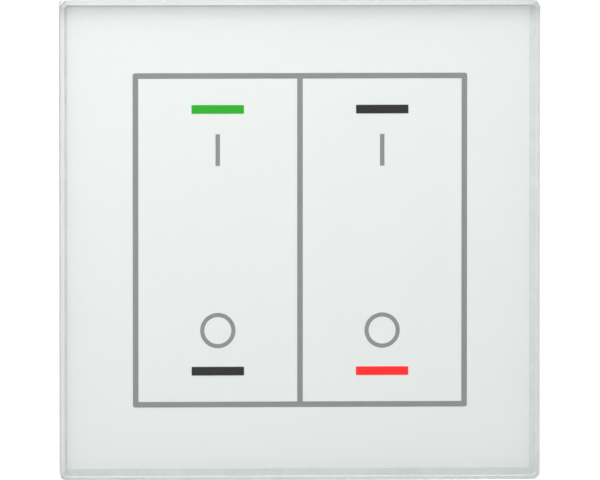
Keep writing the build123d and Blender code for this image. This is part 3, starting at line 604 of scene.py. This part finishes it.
def plate_loop(inset):
    """The plate's outline, moved in by inset."""
    half = plate_side / 2 - inset
    # A slanting cut grows shorter by this as the outline moves in
    cut = glass_corner_cut - inset * (2 - math.sqrt(2))
    return cut_rectangle(-half, half, -half, half, cut)


def make_coat(materials):
    """White coat with openings for the windows."""
    loops = [rectangle(*coat_edges())] + [window_loop(node) for node in WINDOWS]
    coat_front = glass_back + coat_gap
    coat = printed("white_coat", loops, coat_front, print_high.y, materials, "white_enamel")
    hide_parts("back_print")


def make_ink(materials):
    """Grey outline with its centre line, and a bar above and a ring below on each side of it."""
    ink_front = glass_back + ink_gap
    ink_back = ink_front + ink_depth
    half = outline_line / 2
    inner_low = outline_low.z + outline_line
    inner_high = outline_high.z - outline_line
    loops = [
        rounded_rectangle(
            outline_low.x, outline_high.x, outline_low.z, outline_high.z, outline_corner
        ),
        rectangle(outline_low.x + outline_line, -half, inner_low, inner_high),
        rectangle(half, outline_high.x - outline_line, inner_low, inner_high),
    ]
    outline = printed("outline_ink", loops, ink_front, ink_back, materials, "grey_ink")
    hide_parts("outline_print")
    for side, x in (("left", -gang_x), ("right", gang_x)):
        bar = rectangle(
            x - mark_bar_width / 2,
            x + mark_bar_width / 2,
            mark_height - mark_bar_height / 2,
            mark_height + mark_bar_height / 2,
        )
        printed(f"mark_on_{side}", [bar], ink_front, ink_back, materials, "grey_ink")
        ring = [circle(x, -mark_height, radius) for radius in (mark_ring_outer, mark_ring_inner)]
        printed(f"mark_off_{side}", ring, ink_front, ink_back, materials, "grey_ink")


def make_films(materials):
    """Tinted film in each window."""
    film_front = glass_back - film_bite
    for node in WINDOWS:
        name = node.replace("window", "film")
        loops = [window_loop(node)]
        film = printed(name, loops, film_front, print_high.y, materials, slot_of_node[node])
        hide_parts(node)


def make_bead(materials):
    """Pale bead that fills the gap between the glass's clear margin and the frame behind it."""
    bead_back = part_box("panel_carrier")[0].y
    bead_front = glass_back - film_bite
    inner = cut_rectangle(*coat_edges(bead_gap), bead_gap)
    rings = [
        (inner, bead_front),
        (plate_loop(glass_arris), bead_front),
        (plate_loop(bead_inset), bead_front - glass_arris + bead_inset),
        (plate_loop(bead_inset), bead_back),
        (inner, bead_back),
    ]
    form = bmesh.new()
    placed = [[form.verts.new((x, depth, z)) for x, z in loop] for loop, depth in rings]
    for index, ring in enumerate(placed):
        following = placed[(index + 1) % len(placed)]
        for place in range(len(ring)):
            beyond = (place + 1) % len(ring)
            form.faces.new((ring[place], ring[beyond], following[beyond], following[place]))
    object_from_bmesh("sealing_bead", form, materials["foam_tape"], "front_panel")


def housing_underside():
    """Height of the housing's underside, behind its flange."""
    points = nodes["base_housing"].data.vertices
    return min(point.co.z for point in points if point.co.y > terminal_mark_y)


def make_terminal_marks(materials):
    """Raised generic letters and numbers under the housing."""
    underside = housing_underside()
    for name, sign in TERMINAL_SIGNS.items():
        low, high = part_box(f"terminal_cage_{name}")
        words = bpy.data.curves.new(f"terminal_mark_{name}", "FONT")
        words.body = sign
        words.size = terminal_mark_size
        words.extrude = terminal_mark_rise
        words.align_x = "CENTER"
        words.align_y = "CENTER"
        words.resolution_u = terminal_mark_curve_steps
        words.materials.append(materials["housing_plastic"])
        mark = bpy.data.objects.new(f"terminal_mark_{name}", words)
        mark.location = ((low.x + high.x) / 2, terminal_mark_y, underside)
        mark.rotation_euler = (math.pi, 0, math.pi)
        link(mark)
        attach(mark, "base")


def seen_rays(tree, kinds):
    """1 where a ray of one of these kinds brings a thing to the eye, and 0 for the light it gives."""
    path = add_node(tree, "ShaderNodeLightPath")
    value = path.outputs[kinds[0]]
    for kind in kinds[1:]:
        value = calculate(tree, "MAXIMUM", value, path.outputs[kind])
    return calculate(tree, "SUBTRACT", value, path.outputs["Diffuse Depth"], clamped=True)


def make_world():
    """White behind the object for the eye, and a soft pale light on it."""
    world = bpy.data.worlds.new("studio")
    bpy.context.scene.world = world
    world.use_nodes = True
    tree = world.node_tree
    tree.nodes.clear()
    seen = add_node(tree, "ShaderNodeBackground", {"Color": (*WHITE, 1), "Strength": 1.0})
    light = add_node(tree, "ShaderNodeBackground", {"Color": (*WHITE, 1), "Strength": sky_strength})
    factor = seen_rays(tree, ["Is Camera Ray", "Is Transmission Ray", "Is Glossy Ray"])
    both = mix_shaders(tree, factor, light.outputs["Background"], seen.outputs["Background"])
    add_node(tree, "ShaderNodeOutputWorld", {"Surface": both})


def floor_material():
    """Pale floor, white to the eye but for the object's shadow, and white in reflections."""
    material, tree = new_material("floor")
    vector = object_coordinates(tree)
    inputs = {
        "Base Color": blend_colours(
            tree, noise(tree, vector, floor_cloud_scale), floor_dark, floor_light
        ),
        "Roughness": floor_roughness,
        "Specular IOR Level": 0.0,
    }
    surface = add_node(tree, "ShaderNodeBsdfPrincipled", inputs)
    reach = tree.nodes.new("ShaderNodeVectorMath")
    reach.operation = "LENGTH"
    feed(tree, reach, {0: vector})
    strength = remap(
        tree, reach.outputs["Value"], floor_glow_near, floor_glow_far, floor_near, floor_far
    )
    glow = add_node(tree, "ShaderNodeEmission", {"Strength": strength})
    shaders = {0: surface.outputs["BSDF"], 1: glow.outputs["Emission"]}
    glowing = add_node(tree, "ShaderNodeAddShader", shaders)
    direct_rays = seen_rays(tree, ["Is Camera Ray", "Is Transmission Ray"])
    direct = mix_shaders(tree, direct_rays, surface.outputs["BSDF"], glowing.outputs["Shader"])
    white = add_node(tree, "ShaderNodeEmission", {"Strength": 1.0})
    mirror_rays = seen_rays(tree, ["Is Glossy Ray"])
    finish_material(tree, mix_shaders(tree, mirror_rays, direct, white.outputs["Emission"]))
    return material


def make_floor():
    """Square floor under the plate's lower edge."""
    mesh = bpy.data.meshes.new("floor")
    height = cad_bounds[0][2]
    corners = [(-1, -1), (1, -1), (1, 1), (-1, 1)]
    points = [(floor_half * x, floor_half * y, height) for x, y in corners]
    mesh.from_pydata(points, [], [(0, 1, 2, 3)])
    floor = bpy.data.objects.new("floor", mesh)
    link(floor)
    floor.data.materials.append(floor_material())


def make_lights():
    """Key above left, a fill from behind right, and a small lamp over the top edge."""
    for name, place, side, power, colour in LAMPS:
        data = bpy.data.lights.new(name, "AREA")
        data.shape = "SQUARE"
        data.size = side
        data.energy = power
        data.color = colour
        light = bpy.data.objects.new(name, data)
        light.location = place
        toward = Vector(lamp_aim) - Vector(place)
        light.rotation_euler = toward.to_track_quat("-Z", "Y").to_euler()
        link(light)


def make_camera():
    """Camera a little above and left of straight on, framed on the plate's front."""
    data = bpy.data.cameras.new("camera")
    data.sensor_width = sensor_width
    frame_width = plate_side * picture_pixels / front_pixels
    data.lens = sensor_width * camera_distance / frame_width
    data.clip_start = camera_near
    data.clip_end = camera_far
    camera = bpy.data.objects.new("camera", data)
    target = Vector((aim_x, glass_front, aim_z))
    away = Vector(
        (
            math.sin(view_azimuth) * math.cos(view_elevation),
            -math.cos(view_azimuth) * math.cos(view_elevation),
            math.sin(view_elevation),
        )
    )
    camera.location = target + camera_distance * away
    camera.rotation_euler = (target - camera.location).to_track_quat("-Z", "Y").to_euler()
    link(camera)
    bpy.context.scene.camera = camera


bpy.context.scene.view_settings.view_transform = "Standard"
materials = make_materials()
dress(materials)
make_coat(materials)
make_ink(materials)
make_films(materials)
make_bead(materials)
make_terminal_marks(materials)
make_world()
make_floor()
make_lights()
make_camera()
